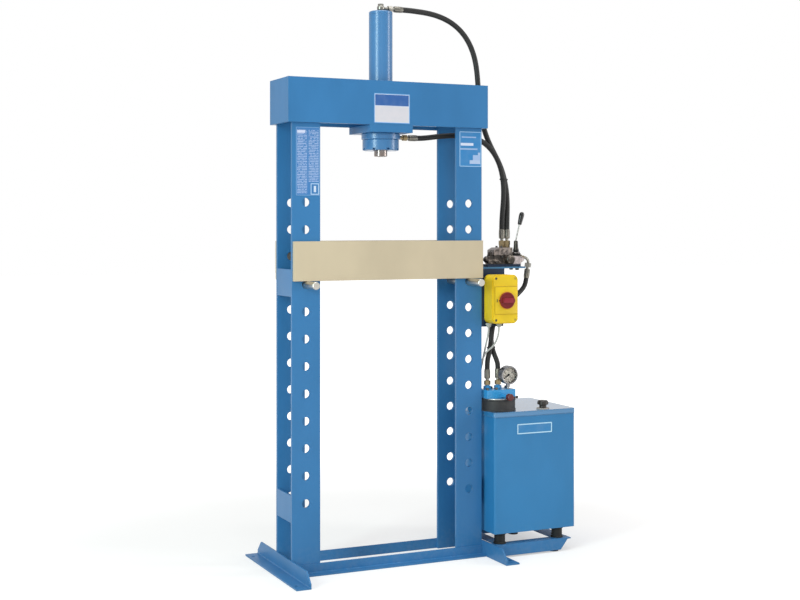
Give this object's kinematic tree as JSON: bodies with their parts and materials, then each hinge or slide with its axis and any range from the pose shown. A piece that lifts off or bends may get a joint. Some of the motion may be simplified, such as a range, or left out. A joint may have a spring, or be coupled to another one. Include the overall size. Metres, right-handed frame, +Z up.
{
  "type": "electro-hydraulic workshop press",
  "caption": "H-frame workshop press: drilled uprights, head beam with a hydraulic ram, pinned bed, oil tank with pump, lever valve, pressure gauge and isolator on the right.",
  "frame": {"origin": "on the floor, midway between the uprights, at the centre of the four floor bolt holes in the feet", "axes": "+Z up along the uprights, +X towards the side with the oil tank, +Y towards the back"},
  "size_m": [1.2144, 0.562, 2.118],
  "materials": {
    "blue_paint": "gloss",
    "bed_paint": "satin",
    "dark_paint": "satin",
    "bright_steel": "satin",
    "chrome_rod": "polished",
    "machined_steel": "satin",
    "zinc_fittings": "satin",
    "hose_rubber": "matte",
    "seal_rubber": "matte",
    "mount_rubber": "matte",
    "tie_plastic": "matte",
    "cable_sheath": "matte",
    "gland_plastic": "matte",
    "valve_casting": "satin",
    "housing_casting": "satin",
    "black_plastic": "gloss",
    "yellow_plastic": "satin",
    "red_plastic": "gloss",
    "screw_dark": "matte",
    "tank_paint": "gloss",
    "lid_paint": "gloss",
    "motor_casting": "satin",
    "ring_steel": "satin",
    "manifold_paint": "gloss",
    "gauge_steel": "satin",
    "dial_white": "matte",
    "gauge_glass": "clear",
    "filler_steel": "satin",
    "pump_aluminium": "satin",
    "rotor_steel": "satin"
  },
  "bodies": {
    "frame": {"upright_left": "blue_paint", "upright_right": "blue_paint", "upright_spacers": "blue_paint", "beam_plates": "blue_paint", "beam_ends": "blue_paint", "cylinder_plate": "blue_paint", "feet": "blue_paint", "sills": "blue_paint", "bed_pins": "bright_steel", "cylinder_barrel": "blue_paint", "cylinder_cap": "blue_paint", "flange_ring": "blue_paint", "gland_nut": "blue_paint", "rod_wiper": "seal_rubber", "hose_ends": "zinc_fittings", "pipe_fittings": "zinc_fittings", "hose_top": "hose_rubber", "hose_head": "hose_rubber", "hose_pressure": "hose_rubber", "hose_return": "hose_rubber", "hose_ties": "tie_plastic", "cable_left": "cable_sheath", "cable_right": "cable_sheath", "cable_glands": "gland_plastic", "valve_bracket": "dark_paint", "valve_body": "valve_casting", "valve_spring_cap": "black_plastic", "lever_housing": "housing_casting", "valve_boot": "seal_rubber", "switch_bracket": "dark_paint", "switch_base": "yellow_plastic", "switch_cover": "yellow_plastic", "cover_screws": "screw_dark", "tank_shelf": "blue_paint", "tank_mounts": "mount_rubber", "tank_shell": "tank_paint", "tank_lid": "lid_paint", "motor_flange": "motor_casting", "manifold_plate": "ring_steel", "manifold": "manifold_paint", "manifold_fittings": "manifold_paint", "gauge_case": "gauge_steel", "gauge_dial": "dial_white", "gauge_glass": "gauge_glass", "filler_neck": "filler_steel", "motor_stator": "motor_casting", "oil_pump": "pump_aluminium"},
    "ram": {"ram_rod": "chrome_rod", "ram_piston": "machined_steel", "piston_seals": "seal_rubber"},
    "bed": {"bed_plates": "bed_paint", "bed_spacers": "bed_paint"},
    "spool": {"valve_spool": "machined_steel"},
    "lever": {"valve_lever": "machined_steel", "lever_knob": "black_plastic"},
    "isolator_knob": {"switch_knob": "red_plastic"},
    "pointer": {"gauge_pointer": "black_plastic"},
    "relief_screw": {"relief_knob": "red_plastic"},
    "filler": {"filler_cap": "black_plastic"},
    "rotor": {"motor_rotor": "rotor_steel"}
  },
  "joints": [
    {"name": "ram_slide", "type": "slide", "parent": "frame", "child": "ram", "axis": [0, 0, -1], "range_m": [0, 0.2]},
    {"name": "bed_lift", "type": "slide", "parent": "frame", "child": "bed", "axis": [0, 0, 1], "range_m": [0, 0.1]},
    {"name": "valve_lever_hinge", "type": "hinge", "parent": "frame", "child": "lever", "pos_m": [0.583, -0.014, 1.162], "axis": [0, 1, 0], "range_deg": [-15, 15], "stiffness_Nm_per_rad": 5},
    {"name": "spool_slide", "type": "slide", "parent": "frame", "child": "spool", "axis": [1, 0, 0], "range_m": [-0.006, 0.006]},
    {"name": "isolator_turn", "type": "hinge", "parent": "frame", "child": "isolator_knob", "pos_m": [0.4605, -0.15, 0.986], "axis": [0, 1, 0], "range_deg": [0, 90]},
    {"name": "gauge_needle", "type": "hinge", "parent": "frame", "child": "pointer", "pos_m": [0.503, -0.092, 0.691], "axis": [0, 1, 0], "range_deg": [0, 270], "stiffness_Nm_per_rad": 0.002},
    {"name": "relief_turn", "type": "hinge", "parent": "frame", "child": "relief_screw", "pos_m": [0.472, -0.153, 0.613], "axis": [0, 1, 0], "range_deg": [0, 270]},
    {"name": "filler_lift", "type": "slide", "parent": "frame", "child": "filler", "axis": [0, 0, 1], "range_m": [0, 0.04]},
    {"name": "rotor_spin", "type": "hinge", "parent": "frame", "child": "rotor", "pos_m": [0.465, -0.082, 0.45], "axis": [0, 0, 1], "continuous": true}
  ],
  "couplings": [
    {"joint": "spool_slide", "follows": "valve_lever_hinge", "m_per_rad": -0.022}
  ]
}
